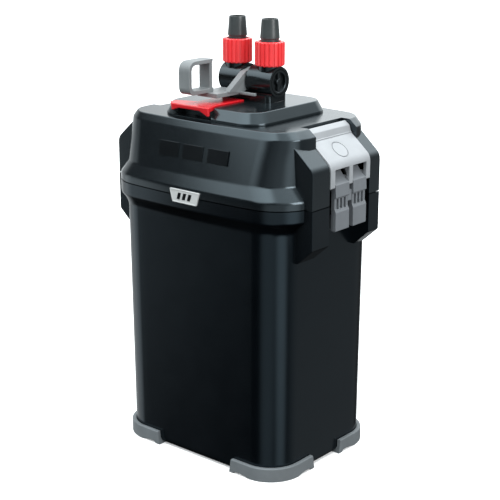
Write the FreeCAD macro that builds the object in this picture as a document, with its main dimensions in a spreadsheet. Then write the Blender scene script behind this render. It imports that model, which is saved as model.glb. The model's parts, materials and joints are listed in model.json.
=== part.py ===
import FreeCAD, Part
import math
import os

import Sketcher

# Canister filter for an aquarium, in millimetres.
# Frame: origin under the centre of the canister at the bottom of its feet, +Z up, -Y the front face,
# the two lid latches on the +X and -X sides.

doc = FreeCAD.newDocument("CanisterFilter")

# ---------------------------------------------------------------- driving dimensions
DRIVING_SIZES = {
    # canister shell
    "body_half_x": 98.6, "body_half_y": 74.4, "body_corner": 30.0, "body_base": 2.0,
    "body_draft": 1.4, "neck_inset": 1.8, "neck_low": 237.0, "flange_low": 239.6, "rim_low": 248.3,
    "seam": 262.5,
    "rim_half_x": 113.0, "rim_half_y": 82.5, "rim_corner": 42.0, "front_bow": 900.0,
    "cavity_half_x": 94.6, "cavity_half_y": 70.4, "cavity_corner": 26.0, "cavity_floor": 5.0,
    # latch housings at both ends, split by the seam
    "pillar_face": 120.0, "pillar_half_y": 51.0, "pillar_foot": 211.5, "pillar_bevel": 226.0,
    "pillar_root": 103.5, "pillar_shoulder": 297.6, "pillar_top": 317.0, "pillar_top_x": 98.0,
    "recess_front": -26.0, "recess_back": 35.0, "recess_wall": 101.6,
    "lug_low": 243.0, "lug_high": 256.0, "lug_reach": 8.0,
    # corner feet
    "foot_proud": 4.45, "foot_height": 13.7, "foot_arm_x": 48.0, "foot_arm_y": 22.0,
    "foot_gap": 0.3, "foot_flange": 14.0,
    # lid
    "lid_rim_top": 269.5, "shoulder_z": 282.0, "shoulder_half_x": 103.8, "shoulder_half_y": 78.5,
    "shoulder_corner": 40.0, "fascia_top": 322.8, "fascia_half_x": 103.8, "fascia_half_y": 68.8,
    "fascia_corner": 35.0, "lid_top": 329.4, "top_half_x": 95.6, "top_half_y": 66.6,
    "top_corner": 28.0, "lid_roof": 3.6, "lid_low_half_x": 98.0, "lid_low_half_y": 72.0,
    "lid_step": 298.0, "lid_high_half_x": 82.0, "lid_high_half_y": 61.0, "seam_gap": 0.2,
    "slot_in": 86.2,
    # raised dock and valve on top of the lid
    "dock_top": 341.0, "dock_base_x": 60.0, "dock_base_y": 57.5, "dock_half_x": 55.0,
    "dock_half_y": 53.0, "dock_corner": 20.0,
    "port_x": 19.8, "valve_y": 11.9, "valve_z": 359.2, "barrel_radius": 14.4, "barrel_end": 31.5,
    "hub_low": -6.0, "hub_high": 2.0, "rotor_radius": 10.0, "port_radius": 6.5,
    "neck_radius": 11.0, "thread_top": 388.0, "spigot_radius": 9.6, "spigot_low": 331.5,
    "running_gap": 0.06,
    "nut_low": 373.7, "nut_high": 396.4, "nut_radius": 13.3, "nut_rib": 0.8,
    "nozzle_top": 416.9, "nozzle_tip": 7.8, "nozzle_root": 9.2, "nozzle_bore": 6.0,
    # latches
    "hinge_x": 94.0, "hinge_z": 321.5, "hinge_pin": 1.6, "handle_front": -25.5,
    "handle_back": 34.5, "hook_pin_x": 114.2, "hook_pin_z": 281.4, "hook_boss": 4.2,
    "hook_pin_radius": 1.3, "hook_face": 121.4, "slot_face": 119.7, "hook_low": 237.5,
    # pump and inlet
    "pump_x": 22.0, "pump_y": -26.0, "deck_low": 252.0, "well_radius": 10.6, "pot_radius": 23.5,
    "shaft_radius": 2.0, "volute_low": 236.0, "volute_radius": 27.0, "screw_radius": 1.9,
    "duct_outer": 12.6, "duct_inner": 9.66,
    # media baskets and foam frame
    "basket_low_x": -66.0, "basket_high_x": 93.0, "basket_half_y": 68.6, "basket_pitch": 70.4,
    "basket_height": 70.0, "basket_first": 6.0, "basket_wall": 2.0, "foam_low_x": -91.5,
    "foam_high_x": -69.0, "foam_half_y": 55.0, "foam_top": 222.0,
}

sheet = doc.addObject("Spreadsheet::Sheet", "Sizes")
for row, (alias, number) in enumerate(DRIVING_SIZES.items(), start=1):
    sheet.set("A%d" % row, alias)
    sheet.set("B%d" % row, str(number))
    sheet.setAlias("B%d" % row, alias)
doc.recompute()


class Size:
    """A length that carries its value and the sheet expression it comes from."""

    def __init__(self, value, text=None):
        self.value = float(value)
        self.text = text or "(%.6f)" % float(value)

    def combine(self, other, value, sign, flipped=False):
        left, right = (other, self) if flipped else (self, other)
        return Size(value, "(%s %s %s)" % (left.text, sign, right.text))

    def __add__(self, other):
        other = as_size(other)
        return self.combine(other, self.value + other.value, "+")

    def __radd__(self, other):
        return as_size(other) + self

    def __sub__(self, other):
        other = as_size(other)
        return self.combine(other, self.value - other.value, "-")

    def __rsub__(self, other):
        return as_size(other) - self

    def __mul__(self, other):
        other = as_size(other)
        return self.combine(other, self.value * other.value, "*")

    __rmul__ = __mul__

    def __neg__(self):
        return self * -1


def as_size(number):
    return number if isinstance(number, Size) else Size(number)


class Sheet:
    """Sheet cells by alias, as Size values."""

    def __getattr__(self, alias):
        return Size(float(sheet.get(alias)), "Sizes." + alias)


S = Sheet()
NODES = []
X_AXIS, Y_AXIS, Z_AXIS = (FreeCAD.Vector(1, 0, 0), FreeCAD.Vector(0, 1, 0), FreeCAD.Vector(0, 0, 1))
# How a profile drawn flat in x and y stands in space, for each direction it is extruded in
STAND = {
    "x": FreeCAD.Rotation(Y_AXIS, Z_AXIS, X_AXIS, "ZXY"),
    "y": FreeCAD.Rotation(X_AXIS, 90),
    "z": FreeCAD.Rotation(),
}
ALONG = {"x": X_AXIS, "y": Y_AXIS, "z": Z_AXIS}


# ---------------------------------------------------------------- small builders
def bind(thing, prop, size):
    size = as_size(size)
    thing.setExpression(prop, size.text)


def place(thing, x=0, y=0, z=0, rotation=None):
    thing.Placement = FreeCAD.Placement(FreeCAD.Vector(0, 0, 0), rotation or FreeCAD.Rotation())
    for axis, size in zip("xyz", (x, y, z)):
        bind(thing, ".Placement.Base." + axis, size)


def box(name, low, high):
    block = doc.addObject("Part::Box", name)
    for prop, a, b in zip(("Length", "Width", "Height"), low, high):
        bind(block, prop, as_size(b) - as_size(a))
    place(block, *low)
    return block


def cylinder(name, radius, axis, centre, start, end):
    """A round bar along x, y or z; centre is where it crosses the plane square to it."""
    bar = doc.addObject("Part::Cylinder", name)
    bind(bar, "Radius", radius)
    bind(bar, "Height", as_size(end) - as_size(start))
    a, b = centre
    turn = {"x": FreeCAD.Rotation(Y_AXIS, 90), "y": FreeCAD.Rotation(X_AXIS, -90), "z": FreeCAD.Rotation()}
    base = {"x": (start, a, b), "y": (a, start, b), "z": (a, b, start)}
    place(bar, *base[axis], rotation=turn[axis])
    return bar


def fuse(name, pieces):
    joined = doc.addObject("Part::MultiFuse", name)
    joined.Shapes = pieces
    joined.Refine = True
    return joined


def cut(name, base, tools):
    tool = tools if not isinstance(tools, list) else (
        tools[0] if len(tools) == 1 else fuse(name + "_tools", tools))
    result = doc.addObject("Part::Cut", name)
    result.Base = base
    result.Tool = tool
    result.Refine = True
    return result


def common(name, base, tool):
    result = doc.addObject("Part::Common", name)
    result.Base = base
    result.Tool = tool
    return result


def group(name, pieces):
    """Several separate solids that are one node."""
    together = doc.addObject("Part::Compound", name)
    together.Links = pieces
    return together


def draw_corners(sketch, points):
    """Draws a closed profile in sketch; every corner is held by two dimensions."""
    corners = [FreeCAD.Vector(as_size(a).value, as_size(b).value, 0) for a, b in points]
    for i, corner in enumerate(corners):
        sketch.addGeometry(Part.LineSegment(corner, corners[(i + 1) % len(corners)]), False)
    for i in range(len(corners)):
        sketch.addConstraint(Sketcher.Constraint("Coincident", i, 2, (i + 1) % len(corners), 1))
    for i, pair in enumerate(points):
        for direction, size in zip(("DistanceX", "DistanceY"), pair):
            size = as_size(size)
            index = sketch.addConstraint(Sketcher.Constraint(direction, i, 1, size.value))
            if "Sizes." in size.text:
                sketch.setExpression("Constraints[%d]" % index, size.text)


def polygon_sketch(name, points):
    sketch = doc.addObject("Sketcher::SketchObject", name)
    draw_corners(sketch, points)
    return sketch


def extrude(name, sketch, axis, start, end):
    place(sketch, *[start if letter == axis else 0 for letter in "xyz"], rotation=STAND[axis])
    bar = doc.addObject("Part::Extrusion", name)
    bar.Base = sketch
    bar.DirMode = "Custom"
    bar.Dir = ALONG[axis]
    bar.Solid = True
    bind(bar, "LengthFwd", as_size(end) - as_size(start))
    return bar


def prism(name, points, axis, start, end):
    return extrude(name, polygon_sketch(name + "_profile", points), axis, start, end)


def outline_sketch(name, half_x, half_y, corner, bow=None, centre=(0, 0)):
    """A rounded rectangle; with bow, its front and back are shallow arcs of that radius."""
    half_x, half_y, corner = as_size(half_x), as_size(half_y), as_size(corner)
    cx, cy = (as_size(centre[0]), as_size(centre[1]))
    sketch = doc.addObject("Sketcher::SketchObject", name)
    arc_x, r = half_x.value - corner.value, corner.value
    if bow is None:
        arc_y, lean = half_y.value - r, 0.0
    else:
        span = bow.value - r
        arc_y = math.sqrt(span ** 2 - arc_x ** 2) - (bow.value - half_y.value)
        lean = math.asin(arc_x / span)
    middle = FreeCAD.Vector(cx.value, cy.value, 0)

    def arc(x, y, radius, first, last):
        circle = Part.Circle(middle + FreeCAD.Vector(x, y, 0), Z_AXIS, radius)
        return Part.ArcOfCircle(circle, first, last)

    up = math.pi / 2
    front_x, front_y = arc_x + r * math.sin(lean), arc_y + r * math.cos(lean)
    sides = [
        arc(arc_x, arc_y, r, 0, up - lean),
        None,
        arc(-arc_x, arc_y, r, up + lean, 2 * up),
        Part.LineSegment(middle + FreeCAD.Vector(-half_x.value, arc_y, 0),
                         middle + FreeCAD.Vector(-half_x.value, -arc_y, 0)),
        arc(-arc_x, -arc_y, r, 2 * up, 3 * up - lean),
        None,
        arc(arc_x, -arc_y, r, 3 * up + lean, 4 * up),
        Part.LineSegment(middle + FreeCAD.Vector(half_x.value, -arc_y, 0),
                         middle + FreeCAD.Vector(half_x.value, arc_y, 0)),
    ]
    if bow is None:
        sides[1] = Part.LineSegment(middle + FreeCAD.Vector(front_x, front_y, 0),
                                    middle + FreeCAD.Vector(-front_x, front_y, 0))
        sides[5] = Part.LineSegment(middle + FreeCAD.Vector(-front_x, -front_y, 0),
                                    middle + FreeCAD.Vector(front_x, -front_y, 0))
    else:
        offset = bow.value - half_y.value
        sides[1] = arc(0, -offset, bow.value, up - lean, up + lean)
        sides[5] = arc(0, offset, bow.value, 3 * up - lean, 3 * up + lean)
    for side in sides:
        sketch.addGeometry(side, False)
    for i in range(8):
        sketch.addConstraint(Sketcher.Constraint("Tangent", i, 2, (i + 1) % 8, 1))
    for i in (2, 4, 6):
        sketch.addConstraint(Sketcher.Constraint("Equal", 0, i))
    sketch.addConstraint(Sketcher.Constraint("Vertical", 3))
    sketch.addConstraint(Sketcher.Constraint("Vertical", 7))
    dimensions = [("Radius", (0,), corner), ("DistanceX", (7, 1), cx + half_x),
                  ("DistanceX", (3, 1), cx - half_x)]
    if bow is None:
        sketch.addConstraint(Sketcher.Constraint("Horizontal", 1))
        sketch.addConstraint(Sketcher.Constraint("Horizontal", 5))
        dimensions += [("DistanceY", (1, 1), cy + half_y), ("DistanceY", (5, 1), cy - half_y)]
    else:
        sketch.addConstraint(Sketcher.Constraint("Equal", 1, 5))
        dimensions += [("Radius", (1,), bow), ("DistanceY", (1, 3), cy + half_y - bow),
                       ("DistanceY", (5, 3), cy - half_y + bow)]
    for kind, where, size in dimensions:
        index = sketch.addConstraint(Sketcher.Constraint(kind, *where, size.value))
        if "Sizes." in size.text:
            sketch.setExpression("Constraints[%d]" % index, size.text)
    return sketch


def slab(name, half_x, half_y, corner, low, high, bow=None, centre=(0, 0)):
    sketch = outline_sketch(name + "_outline", half_x, half_y, corner, bow, centre)
    return extrude(name, sketch, "z", low, high)


def lofted(name, rings, bow=None):
    """A shell form through outlines (half x, half y, corner, height), straight between them."""
    sections = []
    for i, (half_x, half_y, corner, height) in enumerate(rings):
        ring = outline_sketch("%s_ring%d" % (name, i), half_x, half_y, corner, bow)
        place(ring, 0, 0, height)
        sections.append(ring)
    loft = doc.addObject("Part::Loft", name)
    loft.Sections = sections
    loft.Solid = True
    loft.Ruled = True
    return loft


def turned(name, points, x=0, y=0, z=0, axis="z"):
    """A turned piece: a profile of (radius, height) corners revolved about its own axis."""
    body = doc.addObject("PartDesign::Body", name)
    sketch = body.newObject("Sketcher::SketchObject", name + "_profile")
    upright = [f for f in body.Origin.OriginFeatures if f.Role == "XZ_Plane"][0]
    spin = [f for f in body.Origin.OriginFeatures if f.Role == "Z_Axis"][0]
    sketch.AttachmentSupport = [(upright, "")]
    sketch.MapMode = "FlatFace"
    draw_corners(sketch, points)
    turn = body.newObject("PartDesign::Revolution", name + "_turn")
    turn.Profile = sketch
    turn.ReferenceAxis = (spin, [""])
    turn.Angle = 360
    body.Tip = turn
    lay = {"x": FreeCAD.Rotation(Y_AXIS, 90), "y": FreeCAD.Rotation(X_AXIS, -90), "z": FreeCAD.Rotation()}
    place(body, x, y, z, rotation=lay[axis])
    return body


def edges_where(shape, test):
    return [i for i, edge in enumerate(shape.Edges, start=1) if test(edge.BoundBox)]


def rounded(name, base, radius, test):
    """Rounds the edges of base whose bounding boxes pass the test."""
    doc.recompute()
    result = doc.addObject("Part::Fillet", name)
    result.Base = base
    result.Edges = [(i, radius, radius) for i in edges_where(base.Shape, test)]
    return result


def mirrored(name, base):
    """The same piece on the other side of the X = 0 plane."""
    copy = doc.addObject("Part::Mirroring", name)
    copy.Source = base
    copy.Normal = X_AXIS
    return copy


def node(label, thing):
    thing.Label = label
    NODES.append(thing)
    return thing


# ---------------------------------------------------------------- canister
def make_canister():
    wall = lofted("wall", [
        (S.body_half_x, S.body_half_y, S.body_corner, S.body_base),
        (S.body_half_x + S.body_draft, S.body_half_y + S.body_draft, S.body_corner, S.neck_low)])
    wall = rounded("wall_rounded", wall, 5.0, lambda b: b.ZMax < S.body_base.value + 1)
    neck = slab("neck", S.body_half_x - S.neck_inset, S.body_half_y - S.neck_inset,
                S.body_corner - S.neck_inset, S.neck_low - 1, S.rim_low + 1)
    flange = lofted("flange", [
        (S.body_half_x - S.neck_inset, S.body_half_y - S.neck_inset, S.body_corner - S.neck_inset,
         S.flange_low),
        (S.rim_half_x, S.rim_half_y, S.rim_corner, S.rim_low + 1.7)], S.front_bow)
    rim = slab("rim", S.rim_half_x, S.rim_half_y, S.rim_corner, S.rim_low, S.seam, S.front_bow)
    rim = rounded("rim_rounded", rim, 2.0, lambda b: b.ZMax < S.rim_low.value + 0.1)
    housings = [prism("housing_%s" % side, [
        (flip * 94, S.pillar_foot), (flip * S.pillar_root, S.pillar_foot),
        (flip * S.pillar_face, S.pillar_bevel), (flip * S.pillar_face, S.seam), (flip * 94, S.seam)],
        "y", -S.pillar_half_y, S.pillar_half_y) for side, flip in (("left", -1), ("right", 1))]
    solid = fuse("canister_solid", [wall, neck, flange, rim] + housings)
    cavity = slab("cavity", S.cavity_half_x, S.cavity_half_y, S.cavity_corner, S.cavity_floor, S.seam + 1)
    recesses = [prism("recess_%s" % side, [
        (flip * S.recess_wall, S.pillar_foot - 5), (flip * (S.pillar_face + 5), S.pillar_foot - 5),
        (flip * (S.pillar_face + 5), S.seam + 1), (flip * S.recess_wall, S.seam + 1)],
        "y", S.recess_front, S.recess_back) for side, flip in (("left", -1), ("right", 1))]
    shell = cut("canister_shell", solid, [cavity] + recesses)
    lugs = [prism("lug_%s" % side, [
        (flip * (S.recess_wall - 2), S.lug_low), (flip * S.recess_wall, S.lug_low),
        (flip * (S.recess_wall + S.lug_reach), S.lug_low + S.lug_reach),
        (flip * (S.recess_wall + S.lug_reach), S.lug_high), (flip * (S.recess_wall - 2), S.lug_high)],
        "y", S.recess_front + 4, S.recess_back - 4) for side, flip in (("left", -1), ("right", 1))]
    node("canister_body", fuse("canister_with_lugs", [shell] + lugs))


def make_feet():
    outer = slab("feet_outer", S.body_half_x + S.foot_proud, S.body_half_y + S.foot_proud,
                 S.body_corner + S.foot_proud, 0, S.foot_height)
    outer = rounded("feet_rounded", outer, 1.2, lambda b: b.ZMin > S.foot_height.value - 0.1)
    seat = slab("feet_seat", S.body_half_x + S.foot_gap, S.body_half_y + S.foot_gap,
                S.body_corner + S.foot_gap, S.body_base, S.foot_height + 1)
    middle = slab("feet_middle", S.body_half_x - S.foot_flange, S.body_half_y - S.foot_flange,
                  S.body_corner - S.foot_flange + 2, -1, S.foot_height)
    ring = cut("feet_ring", outer, [seat, middle])
    reach_x, reach_y = S.body_half_x + 10, S.body_half_y + 10
    corners = {
        "foot_front_left": ((-reach_x, -S.foot_arm_x), (-reach_y, -S.foot_arm_y)),
        "foot_front_right": ((S.foot_arm_x, reach_x), (-reach_y, -S.foot_arm_y)),
        "foot_rear_left": ((-reach_x, -S.foot_arm_x), (S.foot_arm_y, reach_y)),
        "foot_rear_right": ((S.foot_arm_x, reach_x), (S.foot_arm_y, reach_y)),
    }
    for label, ((x0, x1), (y0, y1)) in corners.items():
        corner = box(label + "_corner", (x0, y0, -1), (x1, y1, S.foot_height + 2))
        node(label, common(label, ring, corner))


# ---------------------------------------------------------------- lid
def deck_screw_places():
    return [(-76, -48), (76, -48), (76, 48), (-76, 48)]


def make_lid():
    outside = lofted("lid_outside", [
        (S.rim_half_x, S.rim_half_y, S.rim_corner, S.seam + S.seam_gap),
        (S.rim_half_x, S.rim_half_y, S.rim_corner, S.lid_rim_top),
        (S.shoulder_half_x, S.shoulder_half_y, S.shoulder_corner, S.shoulder_z),
        (S.fascia_half_x, S.fascia_half_y, S.fascia_corner, S.fascia_top),
        (S.top_half_x, S.top_half_y, S.top_corner, S.lid_top)], S.front_bow)
    housings = [prism("lid_housing_%s" % side, [
        (flip * 88, S.seam + S.seam_gap), (flip * S.pillar_face, S.seam + S.seam_gap),
        (flip * S.pillar_face, S.pillar_shoulder), (flip * S.pillar_top_x, S.pillar_top),
        (flip * 88, S.pillar_top)],
        "y", -S.pillar_half_y, S.pillar_half_y) for side, flip in (("left", -1), ("right", 1))]
    solid = fuse("lid_solid", [outside] + housings)
    low = slab("lid_low_cavity", S.lid_low_half_x, S.lid_low_half_y, 34, S.seam - 1, S.lid_step)
    high = slab("lid_high_cavity", S.lid_high_half_x, S.lid_high_half_y, 24, S.lid_step - 1,
                S.lid_top - S.lid_roof)
    tools = [low, high]
    for side, flip in (("left", -1), ("right", 1)):
        tools.append(prism("lid_recess_%s" % side, [
            (flip * S.slot_in, S.lid_top + 1), (flip * S.slot_in, S.hinge_z - 8.5),
            (flip * (S.hinge_x + 5), S.hinge_z - 11), (flip * S.recess_wall, 302),
            (flip * S.recess_wall, S.seam - 1), (flip * (S.pillar_face + 5), S.seam - 1),
            (flip * (S.pillar_face + 5), S.lid_top + 1)], "y", S.recess_front, S.recess_back))
        tools.append(cylinder("hinge_hole_%s" % side, S.hinge_pin, "y", (flip * S.hinge_x, S.hinge_z),
                              S.recess_front - 6, S.recess_back + 6))
        tools.append(cylinder("lid_duct_hole_%s" % side, S.duct_outer + 0.1, "z",
                              (flip * S.port_x, S.valve_y), S.lid_step, S.lid_top + 2))
    tools.append(cylinder("gland_hole", 6.1, "y", (-40, 292), 60, 95))
    shell = cut("lid_shell_cut", solid, tools)
    pad = prism("gland_boss", [(-52, 279), (-28, 279), (-28, 305), (-52, 305)], "y", 70.5, 76)
    pad = cut("gland_boss_bored", pad, cylinder("gland_boss_hole", 6.1, "y", (-40, 292), 60, 95))
    bosses = []
    for i, (x, y) in enumerate(deck_screw_places()):
        bar = cylinder("boss_bar_%d" % i, 4.5, "z", (x, y), S.seam + 0.3, S.lid_top - 3)
        hole = cylinder("boss_hole_%d" % i, S.screw_radius, "z", (x, y), S.seam, S.seam + 16)
        bosses.append(cut("deck_boss_%d" % i, bar, hole))
    node("lid_shell", fuse("lid_shell_full", [shell, pad] + bosses))


def make_lid_trim():
    badge = prism("badge_blank", [(-16.8, 256.2), (12.6, 256.2), (16.2, 268.6), (-20.4, 268.6)],
                  "y", -84.2, -S.rim_half_y - 0.06)
    node("badge_plate", badge)
    lean = (S.shoulder_half_y.value - S.fascia_half_y.value) / (S.fascia_top.value - S.shoulder_z.value)
    bars = []
    for i, (low, high, stand_off) in enumerate(((-42, -18, 0.25), (-12, 12, 0.05), (18, 42, 0.25))):
        foot, head = 296, 309
        front = [-(S.shoulder_half_y.value - lean * (z - S.shoulder_z.value)) - 0.1 + stand_off
                 for z in (foot, head)]
        bars.append(prism("emblem_bar_%d" % i, [
            (front[0] - 0.7, foot), (front[0], foot), (front[1], head), (front[1] - 0.7, head)],
            "x", low, high))
    node("front_emblem", group("front_emblem_bars", bars))
    dock = lofted("dock_outside", [
        (S.dock_base_x, S.dock_base_y, S.dock_corner + 3, S.lid_top + 0.05),
        (S.dock_base_x, S.dock_base_y, S.dock_corner + 3, S.lid_top + 2),
        (S.dock_half_x, S.dock_half_y, S.dock_corner, S.dock_top)])
    tools = [
        prism("handle_trench", [(-25.2, -38.5), (-25.2, -5), (4.8, -5), (4.8, -45), (9.8, -57), (9.8, -66),
                                (-46, -66), (-46, -46.2)], "z", 338.2, S.dock_top + 1),
        prism("finger_well", [(-36, -66), (-31, -44), (6, -44), (10, -66)], "z", S.lid_top + 1, 339)]
    for side, flip in (("left", -1), ("right", 1)):
        tools.append(cylinder("dock_duct_hole_%s" % side, S.duct_outer + 0.1, "z",
                              (flip * S.port_x, S.valve_y), S.lid_top - 2, S.dock_top + 2))
    node("dock_cover", cut("dock_cover_cut", dock, tools))


def make_ducts():
    """The two tubes that carry water between the valve sockets and the pump deck."""
    for label, flip, low in (("inlet_duct", -1, S.deck_low - 14), ("outlet_duct", 1, S.deck_low + 0.1)):
        tube = cylinder(label + "_tube", S.duct_outer, "z", (flip * S.port_x, S.valve_y), low, S.dock_top)
        bore = cylinder(label + "_bore", S.duct_inner, "z", (flip * S.port_x, S.valve_y), low - 1,
                        S.dock_top + 1)
        node(label, cut(label + "_cut", tube, bore))


def make_deck():
    """Pump deck under the lid, with the groove for the seal ring and the wells for tubes and motor."""
    plate = slab("deck_plate", S.cavity_half_x - 0.6, S.cavity_half_y - 0.6, S.cavity_corner - 0.6,
                 S.deck_low, S.seam - 0.1)
    groove = cut("deck_groove",
                 slab("groove_outer", S.cavity_half_x + 2, S.cavity_half_y + 2, 28, 255, 259.4),
                 slab("groove_inner", S.cavity_half_x - 4, S.cavity_half_y - 4, 22, 254, 260))
    tools = [groove, cylinder("deck_well", S.well_radius + 1.3, "z", (S.pump_x, S.pump_y), 250, 264),
             slab("deck_hollow", 68, 58, 18, 258, 264)]
    for i, (x, y) in enumerate(deck_screw_places()):
        tools.append(cylinder("deck_screw_hole_%d" % i, S.screw_radius, "z", (x, y), 250, 264))
    for side, flip in (("left", -1), ("right", 1)):
        tools.append(cylinder("deck_duct_%s" % side, S.duct_outer + 0.05, "z",
                              (flip * S.port_x, S.valve_y), 250, 264))
    node("pump_deck", cut("pump_deck_cut", plate, tools))
    seal = slab("seal_outer", S.cavity_half_x - 0.15, S.cavity_half_y - 0.15, 25.8, 255.2, 259.2)
    hollow = slab("seal_inner", S.cavity_half_x - 3.8, S.cavity_half_y - 3.8, 22.2, 254, 260)
    node("lid_seal_ring", cut("lid_seal_cut", seal, hollow))


# ---------------------------------------------------------------- pump
def make_pump():
    at = {"x": S.pump_x, "y": S.pump_y}
    centre = (S.pump_x, S.pump_y)
    well = S.well_radius
    node("impeller_well", turned("impeller_well_body", [
        (well, 0), (well + 1.2, 0), (well + 1.2, 52), (0, 52), (0, 50.6), (well, 50.6)], z=S.deck_low, **at))
    node("motor_pot", turned("motor_pot_body", [
        (S.pot_radius - 2, 0), (S.pot_radius, 0), (S.pot_radius, 55), (0, 55), (0, 53),
        (S.pot_radius - 2, 53)], z=258.1, **at))
    core = cut("core_ring", cylinder("core_outer", 20.5, "z", centre, 272, 292),
               [cylinder("core_inner", well + 1.3, "z", centre, 271, 293),
                box("core_gap", (S.pump_x - 1.5, S.pump_y - 22, 271), (S.pump_x + 1.5, S.pump_y - 5, 293))])
    node("stator_core", core)
    coils = []
    for i, (low, high) in enumerate(((262.5, 271.6), (292.4, 301.5))):
        coils.append(cut("coil_%d" % i, cylinder("coil_outer_%d" % i, 19, "z", centre, low, high),
                         cylinder("coil_inner_%d" % i, well + 1.6, "z", centre, low - 1, high + 1)))
    node("stator_coils", group("stator_coils_pair", coils))

    duct = (S.port_x, S.valve_y)
    outer = fuse("volute_solid", [
        cylinder("volute_drum", S.volute_radius, "z", centre, S.volute_low, S.deck_low - 0.05),
        cylinder("volute_boss", S.duct_outer + 1.5, "z", duct, S.volute_low, S.deck_low - 0.05),
        box("volute_neck", (S.pump_x - 11, S.pump_y, S.volute_low),
            (S.pump_x + 9, S.valve_y, S.deck_low - 0.05))])
    inner = fuse("volute_space", [
        cylinder("volute_chamber", S.volute_radius - 2.5, "z", centre, S.volute_low + 2.5, S.deck_low + 1),
        cylinder("volute_outlet", S.duct_inner, "z", duct, S.volute_low + 2.5, S.deck_low + 1),
        box("volute_channel", (S.pump_x - 8, S.pump_y, S.volute_low + 2.5),
            (S.pump_x + 4, S.valve_y, S.deck_low + 1))])
    node("impeller_cover", cut("impeller_cover_cut", outer, [inner, cut(
        "volute_inlet", cylinder("inlet_hole", 8.5, "z", centre, S.volute_low - 1, S.volute_low + 4),
        [cylinder("inlet_hub", 4.4, "z", centre, S.volute_low - 2, S.volute_low + 5),
         box("inlet_spoke_x", (S.pump_x - 10, S.pump_y - 1, S.volute_low - 2),
             (S.pump_x + 10, S.pump_y + 1, S.volute_low + 5)),
         box("inlet_spoke_y", (S.pump_x - 1, S.pump_y - 10, S.volute_low - 2),
             (S.pump_x + 1, S.pump_y + 10, S.volute_low + 5))])]))

    node("impeller_shaft", cylinder("impeller_shaft_bar", S.shaft_radius, "z", centre, 240.6, 300.4))
    for label, low, high, seat in (("shaft_bushing_lower", 238.6, 242.6, 4.2),
                                   ("shaft_bushing_upper", 297.2, 302.4, 5.0)):
        cup = turned(label + "_cup", [
            (0, 0), (seat, 0), (seat, high - low), (S.shaft_radius + 0.02, high - low),
            (S.shaft_radius + 0.02, 2), (0, 2)] if label.endswith("lower") else [
            (S.shaft_radius + 0.02, 0), (seat, 0), (seat, high - low), (0, high - low), (0, 3.3),
            (S.shaft_radius + 0.02, 3.3)], z=low, **at)
        node(label, cup)
    bore = S.shaft_radius + S.running_gap
    node("impeller_magnet", turned("impeller_magnet_body", [
        (bore, 0), (9.8, 0), (9.8, 38), (bore, 38)], z=257, **at))
    hub = turned("impeller_hub", [(bore, 0), (5, 0), (5, 9), (9.4, 10.5), (9.4, 12.9), (bore, 12.9)],
                 z=244, **at)
    vanes = [hub]
    for i in range(6):
        vane = box("vane_%d" % i, (4, -0.9, 0), (21, 0.9, 8))
        spot = FreeCAD.Placement(FreeCAD.Vector(S.pump_x.value, S.pump_y.value, 243.8),
                                 FreeCAD.Rotation(Z_AXIS, 60 * i))
        for letter in "xyz":
            vane.setExpression(".Placement.Base." + letter, None)
        vane.Placement = spot * FreeCAD.Placement(FreeCAD.Vector(4, -0.9, 0), FreeCAD.Rotation())
        vanes.append(vane)
    node("impeller_vanes", fuse("impeller_vanes_all", vanes))

    screws = []
    for i, (x, y) in enumerate(deck_screw_places()):
        screws.append(turned("deck_screw_%d" % i, [
            (0, 0), (3.6, 0), (3.6, 2.2), (S.screw_radius, 2.2), (S.screw_radius, 26), (0, 26)],
            x, y, S.deck_low - 2.2))
    node("deck_screws", group("deck_screw_set", screws))


def make_gland():
    node("cord_gland", turned("cord_gland_body", [
        (3.6, -5), (6.0, -5), (6.0, 7.8), (9.5, 7.8), (9.5, 10), (6.6, 10), (5.8, 13.2), (3.6, 13.2)],
        -40, 71, 292, axis="y"))


# ---------------------------------------------------------------- media stack
def make_baskets():
    width = S.basket_high_x - S.basket_low_x
    middle = (S.basket_high_x.value + S.basket_low_x.value) / 2
    media = (("biological_rings", 44), ("carbon_granules", 44), ("filter_floss", 62))
    for i, name in enumerate(("basket_lower", "basket_middle", "basket_upper")):
        low = S.basket_first + S.basket_pitch * i
        outer = slab(name + "_outer", width * 0.5, S.basket_half_y, 22, low, low + S.basket_height,
                     centre=(middle, 0))
        inner = slab(name + "_inner", width * 0.5 - S.basket_wall, S.basket_half_y - S.basket_wall, 20,
                     low + S.basket_wall, low + S.basket_height + 1, centre=(middle, 0))
        slots = [box("%s_slot_%d" % (name, k), (middle - 60 + 12 * k, -50, low - 1),
                     (middle - 54 + 12 * k, 50, low + S.basket_wall + 1)) for k in range(11)]
        node(name, cut(name + "_cut", outer, [inner] + slots))
        filling, depth = media[i]
        node(filling, slab(filling + "_block", width * 0.5 - S.basket_wall - 0.6,
                           S.basket_half_y - S.basket_wall - 0.6, 19, low + S.basket_wall + 0.3,
                           low + S.basket_wall + 0.3 + depth, centre=(middle, 0)))
    top = S.basket_first + S.basket_pitch * 3
    plate = slab("stack_plate", width * 0.5, S.basket_half_y, 22, top, top + 3, centre=(middle, 0))
    slots = [box("stack_slot_%d" % k, (middle - 60 + 12 * k, -34, top - 1),
                 (middle - 54 + 12 * k, 34, top + 4)) for k in range(11)]
    node("basket_cover", cut("basket_cover_cut", plate, slots))
    grip = prism("grip_outer", [(-50, top + 3.05), (50, top + 3.05), (50, top + 11), (-50, top + 11)],
                 "y", 40, 46)
    hole = prism("grip_hole", [(-42, top + 3), (42, top + 3), (42, top + 8), (-42, top + 8)], "y", 39, 47)
    node("basket_lift_handle", cut("basket_lift_handle_cut", grip, hole))


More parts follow.
